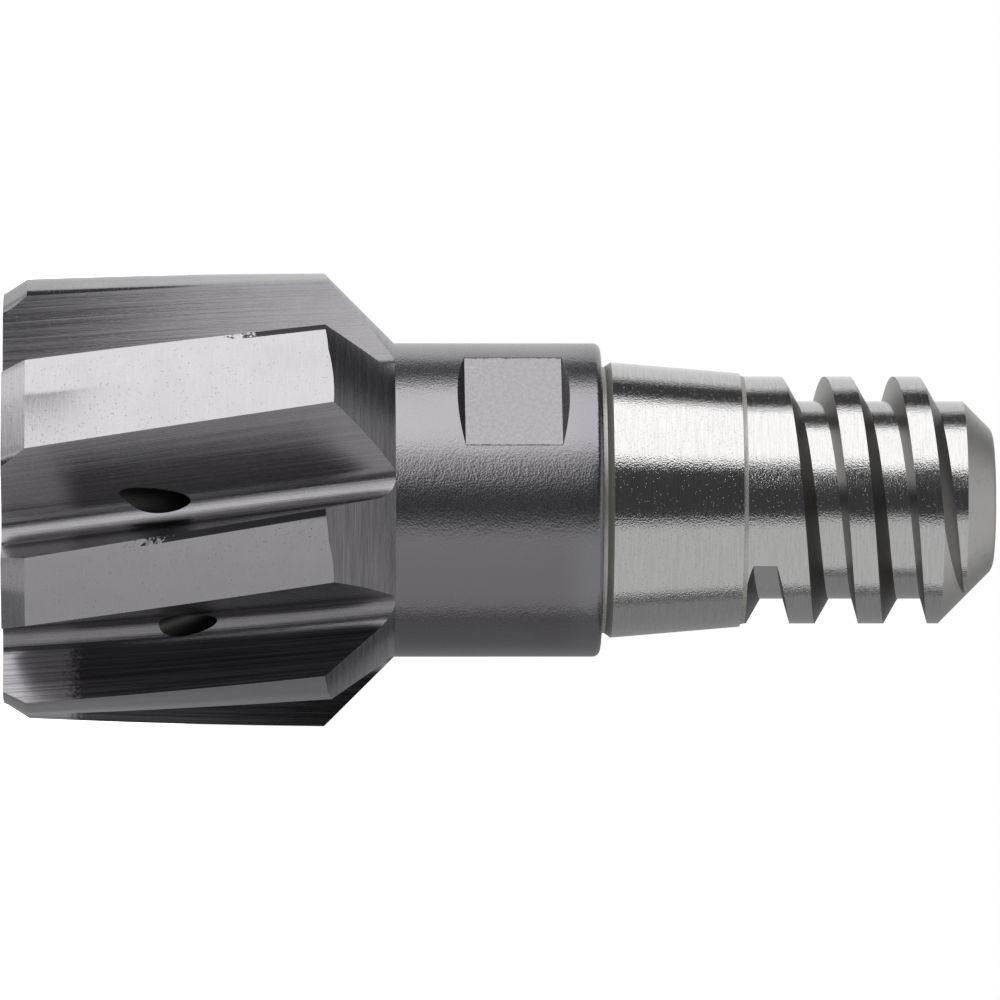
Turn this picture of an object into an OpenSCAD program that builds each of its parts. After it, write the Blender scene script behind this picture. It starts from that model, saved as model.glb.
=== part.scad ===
// Face mill head: eight left-hand-helix teeth on a right-hand-cutting head, with
// unequal tooth spacing, a spanner neck and a taper-and-thread coupling.
// The tool axis is Z. Z = 0 is the flat cutting end, and the coupling points up.
// The spanner flats face -Y and +Y.

/* [Cutting head] */
// Cutting diameter
cut_d = 25; // [24:0.5:26]
// Length of the full cutting diameter, from the flat end
cut_len = 17.6; // [16:0.1:20]
// Axial length of the lead chamfer on each tooth
lead_len = 1.3; // [0.8:0.1:1.8]
// Radial depth of the lead chamfer
lead_depth = 0.8; // [0.4:0.1:1.1]
// Helix angle of the left-hand flutes, in degrees
helix = 9.5; // [5:0.5:12]

/* [Flute form] */
// Angle that each flute takes at the cutting diameter, in degrees
flute_angle = 28; // [26:1:29]
// Fillet radius at the bottom of a flute
flute_r = 1.2; // [1:0.1:1.4]
// Width of the margin behind the cutting edge
margin_w = 0.4; // [0.3:0.05:0.5]
// Width of the primary relief land
primary_w = 1.4; // [1.2:0.05:1.5]

/* [Neck] */
// Neck diameter
neck_d = 17.3; // [17:0.1:17.6]
// Distance across the spanner flats
across_flats = 16; // [15.5:0.1:16.5]
// Distance from the cutting end to the seat face
seat_z = 32.8; // [31:0.1:34]

/* [Coupling] */
// Taper diameter at its large end
taper_d = 15.2; // [15:0.1:15.4]
// Taper diameter at its small end
taper_end_d = 14; // [13.9:0.1:14.2]
// Thread crest diameter
crest_d = 13.64; // [13.4:0.02:13.8]
// Thread root diameter
root_d = 10.9; // [10.6:0.1:11.2]
// Thread pitch
pitch = 3.8; // [3.6:0.05:3.9]
// Overall length of the tool
overall = 54.5; // [54:0.1:56]

/* [Coolant] */
// Diameter of the central coolant bore
bore_d = 4; // [3:0.5:4.5]
// Diameter of each coolant outlet
outlet_d = 1.4; // [1:0.1:1.5]
// Angle between an outlet and the tool axis, in degrees
outlet_tilt = 25; // [22:1:30]

/* [Hidden] */
$fn = 96;
eps = 0.01;

// Tooth spacing: this sequence of four angles repeats once, so that opposite teeth match.
spacing = [52, 48, 42, 38, 52, 48, 42, 38];
first_edge = -84;
// Cutting edge of tooth i at Z = 0, in degrees
function edge_angle(i) = i == 0 ? first_edge : edge_angle(i - 1) + spacing[i - 1];
// Turn of the flutes for each millimetre of length; left-hand, so it is taken away.
turn_per_mm = tan(helix) / (cut_d / 2) * 180 / PI;

cut_r = cut_d / 2;
neck_r = neck_d / 2;
bore_r = bore_d / 2;
// The flutes bottom out level with the neck, and the teeth stand on the hub under them.
hub_r = neck_r - 0.45;
// The 45 degree back of the teeth runs down to the neck.
back_len = cut_r - neck_r;
head_len = cut_len + back_len;

margin_relief = 3;
primary_relief = 11;
secondary_relief = 21;

taper_z = seat_z + 0.6;
taper_end_z = seat_z + 7.7;
collar_z = taper_end_z + 0.25;
undercut_r = 7.35;
nose_r = 3.8;
// The nose chamfer is 45 degrees.
nose_len = crest_d / 2 - nose_r;
bore_tip_z = head_len + 0.6;
centre_hole_r = 1.25;
face_recess_r = 5;
face_recess = 0.3;

function polar(r, a) = [r * cos(a), r * sin(a)];
function turned(p, a) = [p[0] * cos(a) - p[1] * sin(a), p[0] * sin(a) + p[1] * cos(a)];
function radius_of(p) = norm(p);
function angle_of(p) = atan2(p[1], p[0]);
function mix(p, q, t) = p * (1 - t) + q * t;

// ---- Tooth section ----
// It is drawn with the cutting edge on +X. The lands run on behind it, towards +Y.

// Centre of the fillet at the foot of the rake face, and the angle of its lowest line
fillet_dist = neck_r + flute_r;
fillet_c = [sqrt(fillet_dist * fillet_dist - flute_r * flute_r), -flute_r];
low_angle = angle_of(fillet_c);

edge = [cut_r, 0];
margin_end = edge + margin_w * [-sin(margin_relief), cos(margin_relief)];
primary_end = margin_end + primary_w * [-sin(primary_relief), cos(primary_relief)];

// Where the secondary land meets the ray at land angle a, which is the heel
function heel_run(a) = (primary_end[0] * tan(a) - primary_end[1])
    / (cos(secondary_relief) + sin(secondary_relief) * tan(a));
function heel(a) = primary_end + heel_run(a) * [-sin(secondary_relief), cos(secondary_relief)];

// The back wall leaves the heel and touches the fillet of the next flute.
function next_fillet(step) = turned(fillet_c, step);
function wall_foot(step, h) =
    let (c = next_fillet(step), d = h - c, reach = norm(d), lean = acos(flute_r / reach))
    c + turned(d * (flute_r / reach), -lean);

rake_steps = 5;
wall_steps = 6;
root_steps = 4;

// Points of one tooth's outline, from one low line to the next, at the full diameter.
// The last value of each is how much of the lead chamfer it takes.
function tooth_outline(step) =
    let (
        h = heel(step - flute_angle),
        foot = wall_foot(step, h),
        c = next_fillet(step),
        a0 = angle_of(-fillet_c) + 360,
        foot_a = angle_of(foot - c),
        low_a = angle_of(-c),
        sweep = (low_a - foot_a + 540) % 360 - 180
    )
    concat(
        [for (i = [0:rake_steps]) let (a = a0 + (450 - a0) % 360 * i / rake_steps)
            concat(fillet_c + polar(flute_r, a), [0])],
        [[mix(fillet_c[0], cut_r, 0.5), 0, 0]],
        [concat(edge, [1]), concat(margin_end, [1]), concat(primary_end, [1])],
        [concat(mix(primary_end, h, 0.5), [1]), concat(h, [1])],
        [for (i = [1:wall_steps]) concat(mix(h, foot, i / wall_steps), [1 - i / wall_steps])],
        [for (i = [1:root_steps]) concat(c + polar(flute_r, foot_a + sweep * i / root_steps), [0])]
    );

// Under the outline, the tooth sits just clear of the hub's surface.
function tooth_underside(step) =
    let (from = step + low_angle, to = low_angle, n = ceil(step / 4), r = hub_r / cos((from - to) / n / 2))
    [for (i = [0:n]) polar(r, from + (to - from) * i / n)];

// A point of the outline at height z: taken in by the lead chamfer, and cut by the 45 degree back.
function chamfer_at(z) = z < lead_len ? lead_depth * (1 - z / lead_len) : 0;
function back_at(z) = z > cut_len ? cut_r - (z - cut_len) : cut_r + eps;
function outline_at(p, z) =
    let (r = min(norm([p[0], p[1]]) - p[2] * chamfer_at(z), back_at(z)))
    polar(r, angle_of([p[0], p[1]]));

body_levels = 12;
back_levels = 7;
levels = concat([0, lead_len],
    [for (i = [1:body_levels]) lead_len + (cut_len - lead_len) * i / body_levels],
    [for (i = [1:back_levels]) cut_len + back_len * i / back_levels]);

// End cap of a skin. A ring runs out over its first "outer" points and comes back over the
// rest, and the cap is laced between the two runs, so that it stays inside the outline.
function lace(i, outer, n) = n - 1 - round(i * (n - outer - 1) / (outer - 1));
function cap(outer, n) = [for (i = [0:outer - 2])
    let (a = lace(i, outer, n), b = lace(i + 1, outer, n))
    each concat([[i, i + 1, a]], a == b ? [] : [[i + 1, b, a]])];

module skin(rings, outer) {
    n = len(rings[0]);
    m = len(rings);
    points = [for (ring = rings) each ring];
    faces = concat(
        cap(outer, n),
        [for (k = [0:m - 2]) for (i = [0:n - 1])
            let (j = (i + 1) % n) each [
                [k * n + i, (k + 1) * n + i, (k + 1) * n + j],
                [k * n + i, (k + 1) * n + j, k * n + j]
            ]],
        [for (f = cap(outer, n)) [for (i = [2:-1:0]) (m - 1) * n + f[i]]]
    );
    polyhedron(points, faces, convexity = 6);
}

module tooth(i) {
    step = spacing[i];
    outline = tooth_outline(step);
    underside = tooth_underside(step);
    rings = [for (z = levels)
        let (a = edge_angle(i) - turn_per_mm * z)
        [for (p = concat([for (q = outline) outline_at(q, z)], underside))
            concat(turned(p, a), [z])]];
    color("dimgray") difference() {
        skin(rings, len(outline));
        coolant_outlets();
    }
}

// ---- Coolant ways ----

// One outlet for each flute: how far it lies ahead of the cutting edge, in degrees, and the height where it opens.
outlet_lead = [7.2, 9, 5.4, 7.2];
outlet_z = [9.2, 8.4, 10, 9.2];
outlet_r = 8.75;

module coolant_outlets() {
    for (i = [0:len(spacing) - 1]) {
        z = outlet_z[i % 4];
        rotate(edge_angle(i) - turn_per_mm * z - outlet_lead[i % 4])
            translate([outlet_r, 0, z])
                rotate([0, -outlet_tilt, 0])
                    translate([0, 0, -6])
                        cylinder(d = outlet_d, h = 6 + (outlet_r - 0.5) / sin(outlet_tilt), $fn = 48);
    }
}

module coolant_bore(from, to) {
    translate([0, 0, from]) cylinder(r = bore_r, h = to - from);
}

// ---- Solids ----

module hub() {
    color("dimgray") difference() {
        cylinder(r = hub_r, h = head_len);
        // The face is relieved in the middle, round a grinding centre.
        translate([0, 0, -1]) cylinder(r = face_recess_r, h = 1 + face_recess);
        translate([0, 0, face_recess - eps]) cylinder(r1 = centre_hole_r, r2 = 0, h = centre_hole_r * 1.732);
        coolant_outlets();
        translate([0, 0, head_len - 1.6]) cylinder(r = bore_r, h = 3);
        translate([0, 0, head_len - 1.6 - bore_r * 0.6]) cylinder(r1 = 0, r2 = bore_r, h = bore_r * 0.6 + eps);
    }
}

flat_z = [seat_z - 7.54, seat_z - 2.24];
flat_runout = 0.42;

// A cut that leaves a flat across the neck, with sloping ends
module spanner_cut() {
    depth = neck_r - across_flats / 2;
    rotate([90, 0, -90])
        translate([0, 0, -neck_r])
            linear_extrude(2 * neck_r)
                polygon([
                    [-across_flats / 2, flat_z[0]],
                    [-across_flats / 2, flat_z[1]],
                    [-across_flats / 2 - 2 * depth, flat_z[1] + 2 * flat_runout],
                    [-across_flats / 2 - 2 * depth, flat_z[0] - 2 * flat_runout]
                ]);
}

corner_r = 0.4;
face_groove_r = 7.75;
face_groove = 0.12;

module neck() {
    color("slategray") difference() {
        rotate_extrude() difference() {
            union() {
                translate([0, head_len]) square([neck_r, seat_z - corner_r - head_len]);
                translate([0, seat_z - corner_r - eps]) square([neck_r - corner_r, corner_r + eps]);
                translate([neck_r - corner_r, seat_z - corner_r]) circle(corner_r);
            }
            translate([undercut_r, seat_z - face_groove]) square([face_groove_r - undercut_r, 1]);
        }
        spanner_cut();
        rotate(180) spanner_cut();
        coolant_bore(head_len - 1, seat_z + 1);
        coolant_outlets();
    }
}

module locating_taper() {
    color("silver") difference() {
        rotate_extrude()
            polygon([
                [0, seat_z], [undercut_r, seat_z], [undercut_r, seat_z + 0.15], [taper_d / 2, taper_z],
                [taper_end_d / 2, taper_end_z], [0, taper_end_z]
            ]);
        coolant_bore(seat_z - 1, taper_end_z + 1);
    }
}

// ---- Thread ----
// The steep flank faces the cutting end and takes the pull of the holder. The shallow
// flank faces the rear. Each flank's size is its run along the axis from root to crest.

root_w = 1.29;
steep_flank = 0.36;
shallow_flank = 0.77;
groove_from = -15.6;
groove_turn = 400 * 2.3;
ramp_turn = 37;
groove_steps = 128;
// Height of the groove's middle where its angle is 42.4 degrees
groove_z = 42.3;
// Past this height the groove widens, and its last turn opens out on to the nose chamfer.
widen_from = overall - 3.8;
widen_by = 1.5;

function groove_centre(a) = groove_z + pitch * (a - 42.4) / 360;
function groove_floor(a) =
    let (t = (a - groove_from) / ramp_turn, root = root_d / 2)
    t >= 1 ? root : root / cos(ramp_turn * (1 - t));

function groove_ring(a) =
    let (
        z = groove_centre(a),
        floor_r = groove_floor(a),
        top_r = crest_d / 2 + 0.6,
        depth = (crest_d - root_d) / 2,
        grow = (top_r - floor_r) / depth,
        half = root_w / 2,
        opening = min(max(0, 1.5 * (z - widen_from)), widen_by)
    )
    [for (p = [[floor_r, z + half + opening], [top_r, z + half + opening + steep_flank * grow],
               [top_r, z - half - shallow_flank * grow], [floor_r, z - half]])
        [p[0] * cos(a), p[0] * sin(a), p[1]]];

module threaded_end() {
    top = overall;
    color("silver") difference() {
        rotate_extrude()
            polygon([
                [0, taper_end_z], [taper_end_d / 2 - 0.12, taper_end_z], [crest_d / 2, collar_z],
                [crest_d / 2, top - nose_len], [nose_r, top], [0, top]
            ]);
        skin([for (i = [0:groove_steps])
            groove_ring(groove_from + groove_turn * i / groove_steps)], 2);
        coolant_bore(taper_end_z - 1, top + 1);
    }
}

hub();
tooth(0);  // tooth_1
tooth(1);  // tooth_2
tooth(2);  // tooth_3
tooth(3);  // tooth_4
tooth(4);  // tooth_5
tooth(5);  // tooth_6
tooth(6);  // tooth_7
tooth(7);  // tooth_8
neck();
locating_taper();
threaded_end();
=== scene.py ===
import math

import bmesh
import bpy
from mathutils import Matrix, Vector


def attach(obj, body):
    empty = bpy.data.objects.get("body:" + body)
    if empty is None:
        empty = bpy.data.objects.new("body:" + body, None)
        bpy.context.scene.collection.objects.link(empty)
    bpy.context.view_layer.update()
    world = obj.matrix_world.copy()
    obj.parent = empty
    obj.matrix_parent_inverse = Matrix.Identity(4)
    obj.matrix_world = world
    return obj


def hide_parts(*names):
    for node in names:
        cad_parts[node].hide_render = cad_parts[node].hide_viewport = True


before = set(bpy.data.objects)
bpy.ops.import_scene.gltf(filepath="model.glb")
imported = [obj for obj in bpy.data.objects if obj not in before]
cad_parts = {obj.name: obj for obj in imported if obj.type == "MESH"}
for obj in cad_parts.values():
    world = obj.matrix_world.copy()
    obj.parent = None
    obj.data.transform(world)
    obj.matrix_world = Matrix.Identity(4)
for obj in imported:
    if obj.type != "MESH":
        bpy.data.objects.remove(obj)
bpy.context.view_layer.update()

MM = 0.001

# ---- Sizes, in millimetres and degrees. Z = 0 is the cutting end. ----
TEETH = 8
CUT_R = 12.5
CUT_LEN = 17.6
LEAD_LEN = 1.3
LEAD_DEPTH = 0.8
NECK_R = 8.65
HUB_R = NECK_R - 0.45
HEAD_LEN = CUT_LEN + CUT_R - NECK_R
HELIX = 9.5
TURN_PER_MM = math.degrees(math.tan(math.radians(HELIX)) / CUT_R)

# A facet is (length, relief angle). A tooth's heel is FLUTE_ANGLE before the next edge.
FLUTE_ANGLE = 28.0
FLUTE_R = 1.2
RAKE_LEAN = 0.3
MARGIN = (0.4, 3.0)
PRIMARY = (1.4, 11.0)
SECONDARY_RELIEF = 21.0
SPACING = (52, 48, 42, 38, 52, 48, 42, 38)
FIRST_EDGE = -84.0

SEAT_Z = 32.8
SEAT_INNER_R = 7.75
SEAT_RELIEF = 0.12
FLAT_HALF = 8.0
FLAT_Z = (SEAT_Z - 7.54, SEAT_Z - 2.24)
FLAT_RUNOUT = 0.42
CORNER_R = 0.4
BORE_R = 2.0

UNDERCUT_R = 7.35
UNDERCUT_Z = (SEAT_Z - 0.1, SEAT_Z + 0.25)
TAPER_Z = SEAT_Z + 0.6
TAPER_END_Z = SEAT_Z + 7.7
TAPER_R = 7.6
TAPER_END_R = 7.0
COLLAR_Z = TAPER_END_Z + 0.25
COLLAR_R = TAPER_END_R - 0.12

CREST_R = 6.82
ROOT_R = 5.45
PITCH = 3.8
GROOVE_Z = 42.3
GROOVE_AT = 42.4
GROOVE_FROM = -15.6
GROOVE_FADE = 30
RUN_IN = 37.0
ROOT_HALF = 0.645
STEEP_FLANK = 0.36
SHALLOW_FLANK = 0.77
END_Z = 54.5
RUN_OUT_Z = 50.7
RUN_OUT_RATE = 1.5
RUN_OUT_MOST = 1.5
GROOVE_STOP_Z = END_Z + 1.6
THREAD_TOP = END_Z + 3
NOSE_R = 3.8
NOSE_CORNER = 0.8

OUTLET_R = 0.7
OUTLET_TILT = 25.0
OUTLET_AT_R = 8.75
OUTLET_LEAD = (7.2, 9.0, 5.4, 7.2)
OUTLET_Z = (9.2, 8.4, 10.0, 9.2)
OUTLET_REACH = (6, 20)

# ---- How finely the round and twisted faces are divided ----
ROUND_SIDES = 288
THREAD_SIDES = 300
ROD_SIDES = 48
CORNER_STEPS = 10
NOSE_STEPS = 6
NECK_ROWS = 28
TAPER_ROWS = 24
LEAD_ROWS = 3
BODY_ROWS = 36
BACK_ROWS = 14
FILLET_STEPS = 20
FILLET_OWN = 12
RAKE_STEPS = 3
PRIMARY_STEPS = 4
LAND_STEP = 0.5
WALL_STEPS = 12
NEXT_FILLET_STEPS = 14

# Edges that fold by more than these angles are drawn sharp.
SHARP = 6.0
SHARP_CARVED = 14.0
TINY = 1e-6

# The finish of each face of a tooth, the neck, the taper and the thread
FLUTE, LAND, LEAD, BACK, FACE, HIDDEN, RAKE, EDGE = range(8)
NECK_SIDE, NECK_SEAT, NECK_FLAT = range(3)
TAPER_GROUND, TAPER_DULL = range(2)
CREST, FLANK, ROOT, NOSE, STEP = range(5)


def polar(radius, angle):
    turn = math.radians(angle)
    return radius * math.cos(turn), radius * math.sin(turn)


def angle_of(x, y):
    return math.degrees(math.atan2(y, x))


def spun(p, angle):
    """The point (x, y), turned about the axis."""
    turn = math.radians(angle)
    return (
        p[0] * math.cos(turn) - p[1] * math.sin(turn),
        p[0] * math.sin(turn) + p[1] * math.cos(turn),
    )


def blend(p, q, t):
    return tuple(a + (b - a) * t for a, b in zip(p, q))


def run(start, end, steps):
    """Points along a straight line, with both ends."""
    return [blend(start, end, i / steps) for i in range(steps + 1)]


def on_circle(centre, radius, angle):
    x, y = polar(radius, angle)
    return centre[0] + x, centre[1] + y


def arc(centre, radius, start, end, steps):
    """Points along an arc, with both ends."""
    return [
        on_circle(centre, radius, start + (end - start) * i / steps) for i in range(steps + 1)
    ]


def closed(ring):
    return ring + ring[:1]


# ---- Meshes ----


class Skin:
    """Points and faces of one closed mesh. Points that coincide are one point."""

    def __init__(self):
        self.points = []
        self.known = {}
        self.faces = []
        self.finish_of = []

    def point(self, p):
        key = tuple(round(c, 4) for c in p)
        if key not in self.known:
            self.known[key] = len(self.points)
            self.points.append(p)
        return self.known[key]

    def face(self, corners, finish):
        """Adds a face. One that closes up to a line is left out."""
        ring = []
        for corner in corners:
            spot = self.point(corner)
            if not ring or spot != ring[-1]:
                ring.append(spot)
        if len(ring) > 1 and ring[0] == ring[-1]:
            ring.pop()
        if len(set(ring)) > 2 and len(set(ring)) == len(ring):
            self.faces.append(ring)
            self.finish_of.append(finish)

    def strip(self, lower, upper, finish):
        """Faces between two rows of points."""
        for i in range(len(lower) - 1):
            self.face((lower[i], lower[i + 1], upper[i + 1], upper[i]), finish)

    def make(self, name, finishes):
        """The finished piece, with its faces turned outward."""
        mesh = bpy.data.meshes.new(name)
        mesh.from_pydata([[c * MM for c in p] for p in self.points], [], self.faces)
        for finish in finishes:
            mesh.materials.append(finish)
        mesh.polygons.foreach_set("material_index", self.finish_of)
        mesh.polygons.foreach_set("use_smooth", [True] * len(self.faces))
        mesh.validate()
        outward(mesh)
        mesh.set_sharp_from_angle(angle=math.radians(SHARP))
        piece = bpy.data.objects.new(name, mesh)
        bpy.context.scene.collection.objects.link(piece)
        return piece


def outward(mesh):
    shell = bmesh.new()
    shell.from_mesh(mesh)
    bmesh.ops.recalc_face_normals(shell, faces=shell.faces[:])
    shell.to_mesh(mesh)
    shell.free()


def turned(name, profile, finishes, tones):
    """A closed ring of revolution. The profile is a loop of (radius, height)."""
    skin = Skin()
    angles = [360 * k / ROUND_SIDES for k in range(ROUND_SIDES)]
    for (r0, z0), (r1, z1), tone in zip(profile, profile[1:] + profile[:1], tones):
        lower = [(*polar(r0, angle), z0) for angle in angles]
        upper = [(*polar(r1, angle), z1) for angle in angles]
        skin.strip(closed(lower), closed(upper), tone)
    return skin.make(name, finishes)


def carve(piece, *cutters):
    """Cuts solids away from a piece and removes them."""
    for cutter in cutters:
        cut = piece.modifiers.new("cut", "BOOLEAN")
        cut.operation = "DIFFERENCE"
        cut.solver = "EXACT"
        cut.object = cutter
    bpy.context.view_layer.update()
    depsgraph = bpy.context.evaluated_depsgraph_get()
    mesh = bpy.data.meshes.new_from_object(piece.evaluated_get(depsgraph))
    piece.modifiers.clear()
    old = piece.data
    piece.data = mesh
    mesh.name = piece.name
    bpy.data.meshes.remove(old)
    for cutter in cutters:
        bpy.data.objects.remove(cutter)
    mesh.set_sharp_from_angle(angle=math.radians(SHARP_CARVED))
    return piece


def rod(radius, start, direction, length, finish):
    """A round cutter."""
    axis = direction.normalized()
    across = axis.orthogonal().normalized()
    beside = axis.cross(across)
    spokes = [polar(radius, 360 * k / ROD_SIDES) for k in range(ROD_SIDES)]
    rings = []
    for reach in (0, length):
        centre = start + axis * reach
        rings.append([tuple(centre + across * x + beside * y) for x, y in spokes])
    skin = Skin()
    skin.strip(closed(rings[0]), closed(rings[1]), finish)
    skin.face(rings[0][::-1], finish)
    skin.face(rings[1], finish)
    return skin.make("cutter", [])


# ---- Teeth ----


def edge_angle(tooth):
    """The cutting edge's angle at the cutting end, in degrees."""
    return FIRST_EDGE + sum(SPACING[:tooth])


def fillet_centre():
    """The middle of the fillet at a flute's foot, for a cutting edge on +X."""
    reach = NECK_R + FLUTE_R
    return math.sqrt(reach**2 - FLUTE_R**2), -FLUTE_R


def facet_end(start, length, relief):
    turn = math.radians(relief)
    return start[0] - length * math.sin(turn), start[1] + length * math.cos(turn)


def heel_point(start, angle):
    """Where a facet at the secondary relief meets the ray at that angle."""
    slope = math.tan(math.radians(angle))
    turn = math.radians(SECONDARY_RELIEF)
    length = (start[0] * slope - start[1]) / (math.cos(turn) + math.sin(turn) * slope)
    return facet_end(start, length, SECONDARY_RELIEF)


def rake_part(centre, low):
    """The tooth's own fillet, then its rake face up to the edge."""
    foot = spun((fillet_centre()[0], 0), -RAKE_LEAN)
    end = angle_of(foot[0] - centre[0], foot[1] - centre[1])
    fillet = arc(centre, FLUTE_R, 180 + low, end, FILLET_STEPS)[:-1]
    part = [(*p, FLUTE if i < FILLET_OWN else RAKE) for i, p in enumerate(fillet)]
    return part + [(*p, RAKE) for p in run(foot, (CUT_R, 0.0), RAKE_STEPS)[:-1]]


def land_part(step):
    """The margin and the two relief lands, and the heel where they end."""
    edge = (CUT_R, 0.0)
    margin_end = facet_end(edge, *MARGIN)
    primary_end = facet_end(margin_end, *PRIMARY)
    heel = heel_point(primary_end, step - FLUTE_ANGLE)
    steps = max(2, round(math.dist(primary_end, heel) / LAND_STEP))
    part = [(*p, EDGE) for p in run(edge, margin_end, 2)[:-1]]
    part += [(*p, LAND) for p in run(margin_end, primary_end, PRIMARY_STEPS)[:-1]]
    part += [(*p, LAND) for p in run(primary_end, heel, steps)[:-1]]
    return part, heel


def wall_part(heel, next_centre, next_low):
    """The wall behind the heel. It touches the next flute's fillet on its inner side."""
    dx, dy = heel[0] - next_centre[0], heel[1] - next_centre[1]
    lean = angle_of(dx, dy) - math.degrees(math.acos(FLUTE_R / math.hypot(dx, dy)))
    foot = on_circle(next_centre, FLUTE_R, lean)
    # The first steps down the wall match the rows of the lead chamfer.
    height = math.hypot(*heel) - math.hypot(*foot)
    shares = [k * LEAD_DEPTH / LEAD_ROWS / height for k in range(LEAD_ROWS + 1)]
    last = shares[-1]
    shares += [last + (1 - last) * k / WALL_STEPS for k in range(1, WALL_STEPS)]
    wall = [blend(heel, foot, share) for share in shares]
    turn = (180 + next_low - lean + 180) % 360 - 180
    fillet = arc(next_centre, FLUTE_R, lean, lean + turn, NEXT_FILLET_STEPS)
    return [(*p, FLUTE) for p in wall + fillet]


def tooth_section(step):
    """(x, y, kind) round one tooth, from the lowest line of its own flute to that of the next.

    The cutting edge is on +X. Each kind belongs to the face that starts at its point.
    """
    centre = spun(fillet_centre(), -RAKE_LEAN)
    low = angle_of(*centre)
    lands, heel = land_part(step)
    wall = wall_part(heel, spun(centre, step), low + step)
    return rake_part(centre, low) + lands + wall, heel


def tooth_levels():
    """The heights at which a tooth is divided."""
    lead = [LEAD_LEN * k / LEAD_ROWS for k in range(LEAD_ROWS + 1)]
    body = [LEAD_LEN + (CUT_LEN - LEAD_LEN) * k / BODY_ROWS for k in range(1, BODY_ROWS + 1)]
    back = [CUT_LEN + (HEAD_LEN - CUT_LEN) * k / BACK_ROWS for k in range(1, BACK_ROWS + 1)]
    return lead + body + back


class Tooth:
    """One tooth: its section, twisted up the helix inside the lead chamfer and the back."""

    def __init__(self, number):
        self.base = edge_angle(number - 1)
        self.section, heel = tooth_section(SPACING[number - 1])
        self.count = len(self.section)
        self.radii = [math.hypot(x, y) for x, y, _ in self.section]
        self.heel_r = math.hypot(*heel)
        is_land = [kind in (LAND, EDGE) for _, _, kind in self.section]
        self.first_land = is_land.index(True)
        self.heel_at = self.first_land + sum(is_land)
        self.levels = tooth_levels()

    def lead_radius(self, i, z):
        """The lead chamfer's radius over section point i."""
        if z >= LEAD_LEN or i < self.first_land:
            return math.inf
        top = self.radii[i] if i <= self.heel_at else self.heel_r
        return top - LEAD_DEPTH * (1 - z / LEAD_LEN)

    def twisted(self, i, z, radius):
        """A point at that height and radius, in line with section point i."""
        x, y = self.section[i][:2]
        return (*polar(radius, angle_of(x, y) + self.base - TURN_PER_MM * z), z)

    def at(self, i, z):
        """The skin's point over section point i at that height."""
        r = min(self.radii[i], self.lead_radius(i, z))
        if z > CUT_LEN:
            r = min(r, CUT_R - (z - CUT_LEN))
        return self.twisted(i, z, r)

    def back_from(self, i):
        """The height at which the back of the tooth begins over section point i."""
        return min(HEAD_LEN, CUT_LEN + CUT_R - self.radii[i])

    def cell(self, i, low, high, pick):
        """One cell of the skin, kept below (min) or above (max) the start of the back."""
        a, b = self.back_from(i), self.back_from(i + 1)
        return [
            self.at(i, pick(low, a)),
            self.at(i + 1, pick(low, b)),
            self.at(i + 1, pick(high, b)),
            self.at(i, pick(high, a)),
        ]

    def add_outside(self, skin):
        for low, high in zip(self.levels, self.levels[1:]):
            for i in range(self.count - 1):
                body = self.cell(i, low, high, min)
                if high <= LEAD_LEN + TINY and i >= self.first_land:
                    self.add_lead_cell(skin, body, i, round(low / LEAD_LEN * LEAD_ROWS))
                else:
                    skin.face(body, self.section[i][2])
                if high > CUT_LEN + TINY:
                    skin.face(self.cell(i, low, high, max), BACK)

    def add_lead_cell(self, skin, quad, i, row):
        """One cell of the lead chamfer's rows. Behind the heel the chamfer runs out."""
        kind = self.section[i][2]
        past_heel = i - self.heel_at
        if past_heel < 0 or past_heel + row < LEAD_ROWS - 1:
            skin.face(quad, LEAD)
        elif past_heel + row == LEAD_ROWS - 1:
            skin.face((quad[0], quad[1], quad[3]), LEAD)
            skin.face((quad[1], quad[2], quad[3]), kind)
        else:
            skin.face(quad, kind)

    def add_inside(self, skin):
        """The faces against the hub, the neighbouring teeth and the neck, and the end face."""
        points = range(self.count)
        under = [[self.twisted(i, z, HUB_R) for i in points] for z in self.levels]
        for low, high in zip(under, under[1:]):
            skin.strip(low[::-1], high[::-1], HIDDEN)
        for side in (0, self.count - 1):
            for k, (low, high) in enumerate(zip(self.levels, self.levels[1:])):
                ring = [self.at(side, low), self.at(side, high), under[k + 1][side], under[k][side]]
                skin.face(ring if side else ring[::-1], HIDDEN)
        skin.strip([self.at(i, 0) for i in points], under[0], FACE)
        skin.strip(under[-1], [self.at(i, HEAD_LEN) for i in points], HIDDEN)


def make_tooth(number, finishes):
    """One tooth, with the outlets in the flutes on both of its sides."""
    shape = Tooth(number)
    skin = Skin()
    shape.add_outside(skin)
    shape.add_inside(skin)
    tooth = skin.make(f"tooth_{number}_ground", finishes)
    return carve(tooth, outlet_rod(number), outlet_rod(number % TEETH + 1))


def outlet_rod(number):
    """The cutter for the coolant outlet ahead of a tooth's cutting edge."""
    i = (number - 1) % len(OUTLET_Z)
    z = OUTLET_Z[i]
    angle = edge_angle(number - 1) - TURN_PER_MM * z - OUTLET_LEAD[i]
    tilt = math.radians(OUTLET_TILT)
    direction = Vector((*polar(-math.sin(tilt), angle), math.cos(tilt)))
    before, length = OUTLET_REACH
    start = Vector((*polar(OUTLET_AT_R, angle), z)) - direction * before
    return rod(OUTLET_R, start, direction, length, HIDDEN)


# ---- Neck and coupling ----


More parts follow.
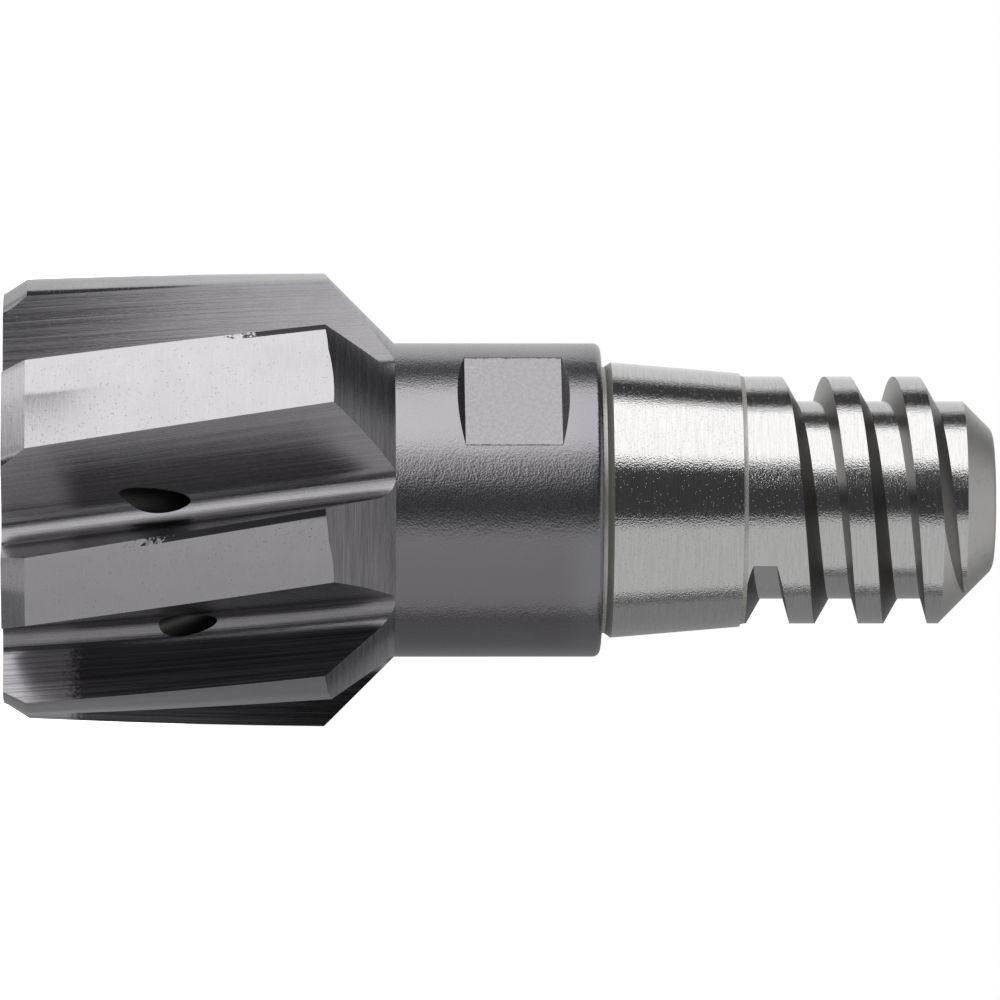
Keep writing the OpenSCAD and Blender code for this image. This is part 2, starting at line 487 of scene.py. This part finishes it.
def make_neck(finishes):
    """The neck with its two spanner flats."""
    top = SEAT_Z - CORNER_R
    side = run((NECK_R, HEAD_LEN), (NECK_R, top), NECK_ROWS)
    corner = arc((NECK_R - CORNER_R, top), CORNER_R, 0, 90, CORNER_STEPS)[1:]
    floor = SEAT_Z - SEAT_RELIEF
    seat = [(SEAT_INNER_R, SEAT_Z), (SEAT_INNER_R, floor), (BORE_R, floor)]
    profile = side + corner + seat + [(BORE_R, HEAD_LEN)]
    tones = [NECK_SIDE] * (NECK_ROWS + CORNER_STEPS) + [NECK_SEAT] * 4 + [NECK_SIDE]
    piece = turned("neck_with_flats", profile, finishes, tones)
    return carve(piece, flat_cutter(0), flat_cutter(180))


def flat_cutter(turn):
    """A block with sloping ends that leaves a flat facing -Y, or +Y when turned half round."""
    far_y = -FLAT_HALF - 2 * (NECK_R - FLAT_HALF)
    outline = [
        (-FLAT_HALF, FLAT_Z[0]),
        (-FLAT_HALF, FLAT_Z[1]),
        (far_y, FLAT_Z[1] + 2 * FLAT_RUNOUT),
        (far_y, FLAT_Z[0] - 2 * FLAT_RUNOUT),
    ]
    near = [(*spun((-NECK_R, y), turn), z) for y, z in outline]
    far = [(*spun((NECK_R, y), turn), z) for y, z in outline]
    skin = Skin()
    skin.strip(closed(near), closed(far), NECK_FLAT)
    skin.face(near[::-1], NECK_FLAT)
    skin.face(far, NECK_FLAT)
    return skin.make("cutter", [])


def make_taper(finishes):
    """The undercut and the ground locating taper."""
    undercut = [(UNDERCUT_R, z) for z in UNDERCUT_Z]
    cone = run((TAPER_R, TAPER_Z), (TAPER_END_R, TAPER_END_Z), TAPER_ROWS)
    profile = undercut + cone + [(BORE_R, TAPER_END_Z), (BORE_R, UNDERCUT_Z[0])]
    tones = [TAPER_DULL] * 2 + [TAPER_GROUND] * TAPER_ROWS + [TAPER_DULL] * 3
    return turned("locating_taper_ground", profile, finishes, tones)


def groove_at(total):
    """(height, radius) at the four corners of the thread groove after that much turn."""
    z = GROOVE_Z + PITCH * (total - GROOVE_AT) / 360
    if z > GROOVE_STOP_Z:
        return [(z, CREST_R)] * 4
    if total < GROOVE_FROM - TINY:
        half = ROOT_HALF * max(0.0, 1 + (total - GROOVE_FROM) / GROOVE_FADE)
        return [(z - half, CREST_R)] * 2 + [(z + half, CREST_R)] * 2
    # The groove runs in along a straight cut across the crest.
    done = (total - GROOVE_FROM) / RUN_IN
    floor = ROOT_R
    if done < 1:
        floor = min(CREST_R, ROOT_R / math.cos(math.radians(RUN_IN * (1 - done))))
    share = (CREST_R - floor) / (CREST_R - ROOT_R)
    # The last turn opens out on to the end chamfer.
    opening = min(max(0.0, RUN_OUT_RATE * (z - RUN_OUT_Z)), RUN_OUT_MOST)
    lower, upper = z - ROOT_HALF, z + ROOT_HALF + opening
    return [
        (lower - SHALLOW_FLANK * share, CREST_R),
        (lower, floor),
        (upper, floor),
        (upper + STEEP_FLANK * share, CREST_R),
    ]


def thread_column(angle):
    """(height, radius) up one line of the thread blank, and the finish of each stretch."""
    column = [(COLLAR_Z, CREST_R)]
    tones = []

    def climb(z, r, steps, tone):
        z = min(max(z, COLLAR_Z), THREAD_TOP)
        column.extend(run(column[-1], (z, r), steps)[1:])
        tones.extend([tone] * steps)

    for turn in range(-1, 5):
        corners = groove_at(angle + 360 * turn)
        climb(*corners[0], 6, CREST)
        climb(*corners[1], 4, FLANK)
        climb(*corners[2], 5, ROOT)
        climb(*corners[3], 3, FLANK)
    climb(THREAD_TOP, CREST_R, 6, CREST)
    return column, tones


def make_thread(finishes):
    """The collar, the buttress thread and the end chamfer."""
    skin = Skin()
    angles = [GROOVE_FROM + 360 * k / THREAD_SIDES for k in range(THREAD_SIDES + 1)]
    columns = []
    for angle in angles:
        column, tones = thread_column(angle)
        columns.append([(*polar(r, angle), z) for z, r in column])
    for left, right in zip(columns, columns[1:]):
        for i, tone in enumerate(tones):
            skin.face((left[i], right[i], right[i + 1], left[i + 1]), tone)
    add_collar_and_bore(skin, angles)
    return carve(skin.make("threaded_end_ground", finishes), end_cutter())


def add_collar_and_bore(skin, angles):
    """Closes the thread blank: the collar's slope, its foot, the bore and the top."""
    loop = [
        (CREST_R, COLLAR_Z),
        (COLLAR_R, TAPER_END_Z),
        (BORE_R, TAPER_END_Z),
        (BORE_R, THREAD_TOP),
        (CREST_R, THREAD_TOP),
    ]
    for a, b in zip(angles, angles[1:]):
        for (r0, z0), (r1, z1) in zip(loop, loop[1:]):
            high = ((*polar(r1, a), z1), (*polar(r1, b), z1))
            low = ((*polar(r0, b), z0), (*polar(r0, a), z0))
            skin.face(high + low, STEP)


def end_cutter():
    """A ring that trims the thread blank to its end face, soft corner and 45 degree chamfer."""
    inside, outside, beyond, top = 0.5, CREST_R + 0.5, 9, END_Z + 5
    back = NOSE_CORNER * math.tan(math.radians(22.5))
    foot = END_Z - (outside - NOSE_R)
    nose = arc((NOSE_R - back, END_Z - NOSE_CORNER), NOSE_CORNER, 90, 45, NOSE_STEPS)
    rim = [(outside, foot), (beyond, foot), (beyond, top), (inside, top)]
    profile = [(inside, END_Z), *nose, *rim]
    return turned("cutter", profile, [], [NOSE] * len(profile))


# ---- Finishes ----

PALE = (1.0, 1.0, 1.0)
BLACK = (0.0, 0.0, 0.0)

# The hard coating, from near black to its lightest. The near black is painted shade on the rake
# faces, and the dark of the margin bands and flat borders.
NEAR_BLACK = (0.035, 0.033, 0.035)
COAT_DARK = (0.19, 0.183, 0.2)
COAT = (0.33, 0.32, 0.335)
COAT_LIGHT = (0.46, 0.45, 0.462)
# The tone of the painted shade on the lands and margins
LAND_PAINTED_SHADE = (0.27, 0.255, 0.29)
MARGIN_COAT = (0.395, 0.385, 0.398)
LEAD_TONES = ((0.27, 0.262, 0.27), (0.38, 0.37, 0.38))
WAY_PAINTED_SHADE = (0.1, 0.1, 0.096)
NECK_TONES = ((0.3, 0.29, 0.297), (0.285, 0.275, 0.292))
# The tone of the painted shade on the neck
NECK_PAINTED_SHADE = (0.165, 0.157, 0.175)
NECK_END = (0.245, 0.24, 0.26)
FLAT_TONES = ((0.27, 0.262, 0.27), (0.315, 0.307, 0.315))

# The bare carbide
BARE_DARK = (0.3, 0.295, 0.285)
BARE = (0.48, 0.475, 0.468)
BARE_LIGHT = (0.6, 0.595, 0.588)
STAIN = (0.10, 0.075, 0.06)
UNDERCUT_TONES = ((0.42, 0.405, 0.38), (0.62, 0.6, 0.57))
FLANK_TONES = ((0.15, 0.145, 0.14), (0.3, 0.293, 0.28))
NOSE_TONES = ((0.55, 0.545, 0.53), (0.74, 0.73, 0.71))

# How far up each tooth its margin keeps its tone before the near-black band, in millimetres
DARK_BAND_FROM = (13.0, 8.0, 40.0, 11.0, 15.0, 9.5, 12.5, 18.0)
DARK_BAND_SCATTER = 9.0

# The way that the side with painted shade on the coating faces
PAINTED_SHADE_WAY = polar(1.0, 42.0)

# Half the width of a spanner flat inside its ragged borders
FLAT_CLEAN = 3.33

# How much the grinding lines are drawn out along the helix
FLUTE_STRETCH = (1.0, 1.0, 0.007)


class Signal:
    """One changing number in a material, with arithmetic."""

    def __init__(self, kit, socket):
        self.kit = kit
        self.socket = socket

    def __add__(self, other):
        return self.kit.math("ADD", self, other)

    def __sub__(self, other):
        return self.kit.math("SUBTRACT", self, other)

    def __rsub__(self, other):
        return self.kit.math("SUBTRACT", other, self)

    def __mul__(self, other):
        return self.kit.math("MULTIPLY", self, other)

    def __truediv__(self, other):
        return self.kit.math("DIVIDE", self, other)

    def __rtruediv__(self, other):
        return self.kit.math("DIVIDE", other, self)

    __radd__ = __add__
    __rmul__ = __mul__

    def over(self, low, high):
        """0 below low, 1 above high, smooth between."""
        settings = {"interpolation_type": "SMOOTHSTEP", "clamp": True}
        ends = {"From Min": low, "From Max": high, "To Min": 0.0, "To Max": 1.0}
        made = self.kit.node("ShaderNodeMapRange", settings, {"Value": self, **ends})
        return Signal(self.kit, made.outputs[0])


class Kit:
    """Makes the nodes of one material. Its lengths are in millimetres."""

    def __init__(self, name):
        self.material = bpy.data.materials.new(name)
        self.material.use_nodes = True
        self.tree = self.material.node_tree
        self.tree.nodes.clear()
        place = self.node("ShaderNodeTexCoord", {}, {}).outputs["Object"]
        self.place = self.vector("SCALE", {0: place, "Scale": 1 / MM})
        axes = self.node("ShaderNodeSeparateXYZ", {}, {0: self.place}).outputs
        self.x, self.y, self.z = (Signal(self, axis) for axis in axes)
        self.r = self.math("SQRT", self.x * self.x + self.y * self.y, 0)
        self.angle = self.math("ARCTAN2", self.y, self.x)

    def node(self, kind, settings, sockets):
        made = self.tree.nodes.new(kind)
        for name, value in settings.items():
            setattr(made, name, value)
        for name, value in sockets.items():
            if isinstance(value, Signal):
                value = value.socket
            if isinstance(value, bpy.types.NodeSocket):
                self.tree.links.new(value, made.inputs[name])
            else:
                made.inputs[name].default_value = value
        return made

    def math(self, operation, a, b):
        made = self.node("ShaderNodeMath", {"operation": operation}, {0: a, 1: b})
        return Signal(self, made.outputs[0])

    def vector(self, operation, sockets):
        return self.node("ShaderNodeVectorMath", {"operation": operation}, sockets).outputs[0]

    def join(self, x, y, z):
        return self.node("ShaderNodeCombineXYZ", {}, {0: x, 1: y, 2: z}).outputs[0]

    def noise(self, place, scale, detail=2.0, rough=0.5):
        sockets = {"Vector": place, "Scale": scale, "Detail": detail, "Roughness": rough}
        made = self.node("ShaderNodeTexNoise", {"noise_dimensions": "3D"}, sockets)
        return Signal(self, made.outputs[0])

    def cells(self, scale):
        """Distance to the nearest of a field of scattered spots."""
        sockets = {"Vector": self.place, "Scale": scale, "Randomness": 1.0}
        settings = {"voronoi_dimensions": "3D", "feature": "F1"}
        made = self.node("ShaderNodeTexVoronoi", settings, sockets)
        return Signal(self, made.outputs["Distance"])

    def spots(self, scale, inner, outer):
        """1 in small scattered spots and 0 between them."""
        return 1 - self.cells(scale).over(inner, outer)

    def tint(self, factor, low, high):
        """A colour that goes from low to high with the factor."""
        sockets = {0: factor, 6: self.colour(low), 7: self.colour(high)}
        settings = {"data_type": "RGBA", "clamp_factor": True}
        return self.node("ShaderNodeMix", settings, sockets).outputs[2]

    @staticmethod
    def colour(value):
        return value if isinstance(value, bpy.types.NodeSocket) else (*value, 1.0)

    def painted_shade_side(self):
        """1 on the side of the tool where the coating tone gets painted shade."""
        facing = (self.x * PAINTED_SHADE_WAY[0] + self.y * PAINTED_SHADE_WAY[1]) / self.r
        return facing.over(-0.15, 0.5)

    def ring_lines(self, fineness, wander):
        """Grinding lines round the axis."""
        sway = self.noise(self.place, 0.35) * wander
        round_axis = self.join(self.r + sway, self.z + sway, self.angle * 0.35)
        return self.noise(round_axis, fineness, detail=4.0, rough=0.7)

    def flute_lines(self, fineness):
        """Grinding lines along the helix."""
        turn = self.z * math.radians(TURN_PER_MM)
        settings = {"rotation_type": "Z_AXIS"}
        sockets = {"Vector": self.place, "Angle": turn}
        untwisted = self.node("ShaderNodeVectorRotate", settings, sockets).outputs[0]
        stretched = self.vector("MULTIPLY", {0: untwisted, 1: FLUTE_STRETCH})
        return self.noise(stretched, fineness, detail=4.0, rough=0.7)

    def bump(self, height, depth):
        sockets = {"Height": height, "Strength": 1.0, "Distance": depth * MM}
        return self.node("ShaderNodeBump", {}, sockets).outputs[0]

    def metal(self, base, rough, normal):
        sockets = {"Base Color": base, "Roughness": rough, "Metallic": 1.0, "Normal": normal}
        shader = self.node("ShaderNodeBsdfPrincipled", {}, sockets)
        self.node("ShaderNodeOutputMaterial", {}, {"Surface": shader.outputs[0]})
        return self.material


def land_finish():
    """Coated relief lands, finely ground across the tooth, with a few pits, and painted shade on
    one side.
    """
    kit = Kit("coated_land")
    lines = kit.ring_lines(7.0, 0.02)
    cloud = kit.noise(kit.place, 0.5, detail=3.0)
    patch = kit.noise(kit.place, 2.6, detail=3.0).over(0.5, 0.56)
    pits = kit.spots(5.6, 0.1, 0.24)
    base = kit.tint(cloud * 0.5 + lines * 0.5, COAT, COAT_LIGHT)
    # Painted shade: the lands darken towards one fixed side of the tool.
    base = kit.tint(kit.painted_shade_side() * 0.5, base, LAND_PAINTED_SHADE)
    base = kit.tint(pits * patch * 0.7, base, COAT_DARK)
    rough = 0.12 + lines * 0.05 + pits * 0.2
    return kit.metal(base, rough, kit.bump(lines * 0.5 - pits * patch, 0.003))


def rake_finish():
    """The rake face: streaked, with painted shade near its edge from a speckled border near the
    cutting end.
    """
    kit = Kit("coated_rake")
    lines = kit.flute_lines(8.0)
    speckle = kit.noise(kit.place, 5.0, detail=3.0, rough=0.7)
    along = (kit.z + speckle * 2.4).over(4.4, 5.6)
    # Painted shade on the rake face towards the cutting edge, from about 5 mm up.
    dark = along * kit.r.over(8.95, 9.6)
    streak = lines.over(0.35, 0.65)
    base = kit.tint(streak, COAT_DARK, COAT)
    base = kit.tint(dark * (0.97 - streak * 0.17), base, NEAR_BLACK)
    return kit.metal(base, 0.2 + lines * 0.1, kit.bump(lines + speckle * 0.3, 0.009))


def edge_finish(number):
    """The margin behind a cutting edge, with painted shade on one side, turning near black in a
    ragged band towards the back.
    """
    kit = Kit(f"coated_edge_{number}")
    ragged = kit.noise(kit.place, 3.0, detail=4.0, rough=0.75)
    start = DARK_BAND_FROM[number - 1]
    dark_band = (kit.z + (ragged - 0.5) * DARK_BAND_SCATTER).over(start, start + 0.3)
    # Painted shade: the margin darkens towards one fixed side of the tool.
    base = kit.tint(kit.painted_shade_side() * 0.5, MARGIN_COAT, LAND_PAINTED_SHADE)
    base = kit.tint(dark_band * 0.95, base, NEAR_BLACK)
    return kit.metal(base, 0.14 + dark_band * 0.3, kit.bump(ragged * dark_band, 0.006))


def lead_finish():
    """The lead chamfer, ground, with a few pits."""
    kit = Kit("coated_lead_chamfer")
    lines = kit.ring_lines(8.0, 0.03)
    base = kit.tint(lines, *LEAD_TONES)
    base = kit.tint(kit.spots(4.0, 0.12, 0.25) * 0.5, base, COAT_DARK)
    return kit.metal(base, 0.17 + lines * 0.08, kit.bump(lines, 0.004))


def flute_finish():
    """Coated flutes, with grinding lines along them and a fine glitter of grains."""
    kit = Kit("coated_flute")
    lines = kit.flute_lines(7.0)
    fine = kit.flute_lines(18.0)
    grains = kit.spots(9.0, 0.12, 0.3)
    cloud = kit.noise(kit.place, 0.6, detail=3.0)
    streak = lines.over(0.3, 0.7)
    base = kit.tint(streak * 0.6 + cloud * 0.4, COAT_DARK, COAT)
    base = kit.tint(grains * 0.4, base, COAT_LIGHT)
    rough = 0.2 + streak * 0.12 + fine * 0.06
    return kit.metal(base, rough, kit.bump(lines * 0.8 + fine * 0.25 + grains * 0.25, 0.011))


def back_finish():
    """The turned-down back of the teeth, ground round the axis."""
    kit = Kit("coated_back")
    lines = kit.ring_lines(5.0, 0.05)
    fine = kit.ring_lines(16.0, 0.02)
    streak = (lines * 0.6 + fine * 0.4).over(0.35, 0.65)
    base = kit.tint(streak, COAT_DARK, COAT)
    height = lines * 0.6 + fine * 0.3 + kit.cells(7.0) * 0.3
    return kit.metal(base, 0.22 + fine * 0.12, kit.bump(height, 0.012))


def face_finish():
    """The cutting end, face ground. Inside the coolant ways behind it, the colour is painted shade,
    near black, and the finish rougher.
    """
    kit = Kit("coated_face")
    sweep_place = kit.join(kit.x + kit.y * 0.25, kit.y * 0.06, 0.0)
    sweep = kit.noise(sweep_place, 6.0, detail=4.0, rough=0.7)
    rings = kit.ring_lines(6.0, 0.04)
    height = sweep * 0.6 + rings * 0.4
    # Painted shade inside the coolant ways, past the face.
    inside = kit.z.over(0.5, 1.5)
    base = kit.tint(height, COAT_DARK, COAT)
    base = kit.tint(inside, base, WAY_PAINTED_SHADE)
    return kit.metal(base, 0.24 + rings * 0.12 + inside * 0.2, kit.bump(height, 0.006))


def sintered_coat_finish():
    """The coated neck, left as sintered, with a soft orange peel, a tint that drifts, and painted
    shade on one side.
    """
    kit = Kit("coated_neck")
    peel = kit.noise(kit.place, 1.7)
    grit = kit.noise(kit.place, 9.0, rough=0.6)
    cloud = kit.noise(kit.place, 0.22)
    base = kit.tint(cloud.over(0.35, 0.65), *NECK_TONES)
    base = kit.tint(grit.over(0.62, 0.8) * 0.3, base, COAT_DARK)
    # Painted shade: the neck darkens towards one fixed side of the tool.
    base = kit.tint(kit.painted_shade_side() * 0.75, base, NECK_PAINTED_SHADE)
    # The coating changes its tint towards its end at the seat.
    end = (kit.z + cloud * 0.5).over(SEAT_Z - 2.2, SEAT_Z - 0.5)
    base = kit.tint(end * 0.6, base, NECK_END)
    return kit.metal(base, 0.2 + grit * 0.12, kit.bump(peel * 0.7 + kit.cells(8.0) * 0.5, 0.013))


def flat_finish():
    """A spanner flat: fine and mottled, with ragged dark borders along its length."""
    kit = Kit("coated_flat")
    mottle = kit.noise(kit.place, 4.5, detail=3.0, rough=0.6)
    grit = kit.noise(kit.place, 20.0)
    ragged = kit.noise(kit.place, 3.0, detail=3.0, rough=0.7)
    across = kit.math("ABSOLUTE", kit.x, 0)
    border = (across + ragged * 0.3).over(FLAT_CLEAN, FLAT_CLEAN + 0.05)
    base = kit.tint(mottle.over(0.35, 0.65), *FLAT_TONES)
    base = kit.tint(border * 0.8, base, NEAR_BLACK)
    return kit.metal(base, 0.2 + grit * 0.14, kit.bump(mottle * 0.5 + grit * 0.5, 0.004))


def seat_finish():
    """The bare seat ring, ground round the axis."""
    kit = Kit("seat_ring")
    lines = kit.ring_lines(9.0, 0.02)
    base = kit.tint(lines, BARE_DARK, BARE)
    return kit.metal(base, 0.26 + lines * 0.1, kit.bump(lines, 0.006))


def ground_finish(name, smoothest, speckle):
    """Bare carbide ground round the axis, with bright and dark grains."""
    kit = Kit(name)
    lines = kit.ring_lines(11.0, 0.015)
    dark_grains = kit.noise(kit.place, 9.0, detail=3.0, rough=0.7).over(0.56, 0.7)
    specks = kit.spots(5.5, 0.06, 0.18)
    base = kit.tint(lines.over(0.25, 0.7) * 0.7, BARE, BARE_LIGHT)
    base = kit.tint(dark_grains * speckle, base, BARE_DARK)
    height = lines * 0.4 + kit.cells(10.5) + specks * 0.8
    return kit.metal(base, smoothest + lines * 0.06, kit.bump(height, 0.0055))


def sintered_finish(name, tones, smoothest):
    """Bare carbide left as sintered: matte, with a fine grain."""
    kit = Kit(name)
    grains = kit.noise(kit.place, 11.0, detail=3.0, rough=0.65)
    cloud = kit.noise(kit.place, 0.8)
    stain = kit.noise(kit.place, 1.9, detail=3.0).over(0.62, 0.78)
    base = kit.tint(grains * 0.7 + cloud * 0.3, *tones)
    base = kit.tint(stain * 0.25, base, STAIN)
    return kit.metal(base, smoothest + grains * 0.15, kit.bump(grains + cloud * 0.5, 0.015))


# ---- Pieces ----


def place_piece(piece, node):
    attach(piece, "root")
    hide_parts(node)


def make_teeth(face):
    coats = [flute_finish(), land_finish(), lead_finish(), back_finish()]
    shared = [*coats, face, face, rake_finish()]
    for number in range(1, TEETH + 1):
        tooth = make_tooth(number, [*shared, edge_finish(number)])
        place_piece(tooth, f"tooth_{number}")


def make_coupling():
    dull = sintered_finish("sintered_undercut", UNDERCUT_TONES, 0.38)
    taper = make_taper([ground_finish("ground_taper", 0.09, 0.5), dull])
    place_piece(taper, "locating_taper")
    crest = ground_finish("ground_crest", 0.09, 0.3)
    root = ground_finish("ground_root", 0.12, 0.4)
    flank = sintered_finish("sintered_flank", FLANK_TONES, 0.28)
    nose = sintered_finish("sintered_nose", NOSE_TONES, 0.38)
    thread = make_thread([crest, flank, root, nose, dull])
    place_piece(thread, "threaded_end")


def make_pieces():
    face = face_finish()
    make_teeth(face)
    neck = make_neck([sintered_coat_finish(), seat_finish(), flat_finish()])
    place_piece(neck, "neck")
    make_coupling()
    hub = bpy.data.objects["hub"]
    hub.data.materials.clear()
    hub.data.materials.append(face)


# ---- Studio. Lengths are in metres where the name gives no other unit. ----

AIM_Z = 27.31 * MM
CAMERA_Z = 12.96 * MM
CAMERA_REACH = 601.5 * MM
CAMERA_SIDE = 312.4
CAMERA_NEAR = 0.05
SENSOR_MM = 36.0
LENS_MM = 392.4

# Soft panels that stand round the tool: the first and last angle, in degrees round from the
# camera towards the upper side, the radiance, and the lowest and highest point.
PANELS = {
    "backdrop_panel": (123.0, 180.0, 0.66, -0.9, 0.35),
    "key_panel": (37.0, 94.0, 1.35, -0.9, 0.25),
    "key_panel_foot": (15.0, 37.0, 1.35, -0.9, 0.016),
    "key_panel_top": (32.5, 37.0, 1.35, 0.06, 0.25),
    "fill_panel": (-90.0, -19.0, 0.52, -0.9, 0.6),
    "rim_panel": (-175.0, -97.0, 0.2, -0.9, 0.35),
}
PANEL_REACH = 0.5
CEILING_Z = 0.62
CEILING_SIZE = 0.9
CEILING_OFFSET = 0.16
CEILING_RADIANCE = 0.36

# The floor is a hair below the cutting end, so that the two don't coincide.
FLOOR_Z_MM = -0.02
FLOOR_HALF_MM = 1500.0
ROOM_HALF_MM = 4000.0

FLOOR_GLOW = 0.8
ROOM_GLOW = (0.062, 0.062, 0.066)
STUDIO_ROUGH = 0.6
UPRIGHT = Vector((0, 0, 1))


def heading(angle):
    return Vector((*polar(1.0, angle), 0.0))


def stood(data, spot, axes):
    """Puts a camera or a light at a spot, with its own X, Y and Z along three axes."""
    thing = bpy.data.objects.new(data.name, data)
    thing.matrix_world = Matrix.Translation(spot) @ Matrix(axes).transposed().to_4x4()
    bpy.context.scene.collection.objects.link(thing)
    return thing


def make_camera():
    data = bpy.data.cameras.new("camera")
    data.sensor_width = SENSOR_MM
    data.lens = LENS_MM
    data.clip_start = CAMERA_NEAR
    spot = heading(CAMERA_SIDE) * CAMERA_REACH + UPRIGHT * CAMERA_Z
    ahead = (UPRIGHT * AIM_Z - spot).normalized()
    up = heading(CAMERA_SIDE - 90)
    right = ahead.cross(up).normalized()
    bpy.context.scene.camera = stood(data, spot, (right, up, -ahead))


def make_panel(name, start, end, radiance, low, high):
    """A tall soft light that fills one sector round the axis."""
    out = heading(CAMERA_SIDE - (start + end) / 2)
    data = bpy.data.lights.new(name, "AREA")
    data.shape = "RECTANGLE"
    data.size = 2 * PANEL_REACH * math.tan(math.radians((end - start) / 2))
    data.size_y = high - low
    # An area light's radiance is its power over four times its area.
    data.energy = radiance * 4 * data.size * data.size_y
    spot = out * PANEL_REACH + UPRIGHT * (low + high) / 2
    lamp = stood(data, spot, (UPRIGHT.cross(out), UPRIGHT, out))
    lamp.visible_camera = False


def make_ceiling():
    """A dimmer panel past the coupling end, facing back along the tool."""
    data = bpy.data.lights.new("ceiling_panel", "AREA")
    data.shape = "SQUARE"
    data.size = CEILING_SIZE
    data.energy = CEILING_RADIANCE * 4 * CEILING_SIZE**2
    lamp = bpy.data.objects.new("ceiling_panel", data)
    lamp.visible_camera = False
    lamp.location = heading(CAMERA_SIDE + 90) * CEILING_OFFSET + UPRIGHT * CEILING_Z
    bpy.context.scene.collection.objects.link(lamp)


def glow(name, base, colour, strength):
    """A plain finish that also gives light."""
    material = bpy.data.materials.new(name)
    material.use_nodes = True
    shader = material.node_tree.nodes["Principled BSDF"]
    shader.inputs["Base Color"].default_value = (*base, 1.0)
    shader.inputs["Roughness"].default_value = STUDIO_ROUGH
    shader.inputs["Emission Color"].default_value = (*colour, 1.0)
    shader.inputs["Emission Strength"].default_value = strength
    return material


def square(half, z):
    return [(-half, -half, z), (half, -half, z), (half, half, z), (-half, half, z)]


def make_room():
    """A dim room for reflections. It is not seen directly and casts no light on the floor."""
    room = Skin()
    low, high = (square(ROOM_HALF_MM, z) for z in (-ROOM_HALF_MM, ROOM_HALF_MM))
    room.strip(closed(low), closed(high), 0)
    room.face(low, 0)
    room.face(high, 0)
    walls = room.make("studio_room", [glow("studio_room", BLACK, ROOM_GLOW, 1.0)])
    walls.visible_camera = False
    walls.visible_diffuse = False
    walls.visible_shadow = False


def make_floor():
    """The pale floor. It doesn't shade the light that reaches the cutting end."""
    floor = Skin()
    floor.face(square(FLOOR_HALF_MM, FLOOR_Z_MM), 0)
    ground = floor.make("studio_floor", [glow("studio_floor", PALE, PALE, FLOOR_GLOW)])
    ground.visible_glossy = False
    ground.visible_shadow = False


def make_world():
    """A white surround that reflections don't show."""
    world = bpy.data.worlds.new("studio")
    world.use_nodes = True
    shade = world.node_tree.nodes["Background"]
    shade.inputs["Color"].default_value = (*PALE, 1.0)
    shade.inputs["Strength"].default_value = 1.0
    world.cycles_visibility.glossy = False
    bpy.context.scene.world = world
    bpy.context.scene.view_settings.view_transform = "Standard"


def make_studio():
    make_world()
    make_room()
    make_floor()
    for name, panel in PANELS.items():
        make_panel(name, *panel)
    make_ceiling()
    make_camera()


make_pieces()
make_studio()
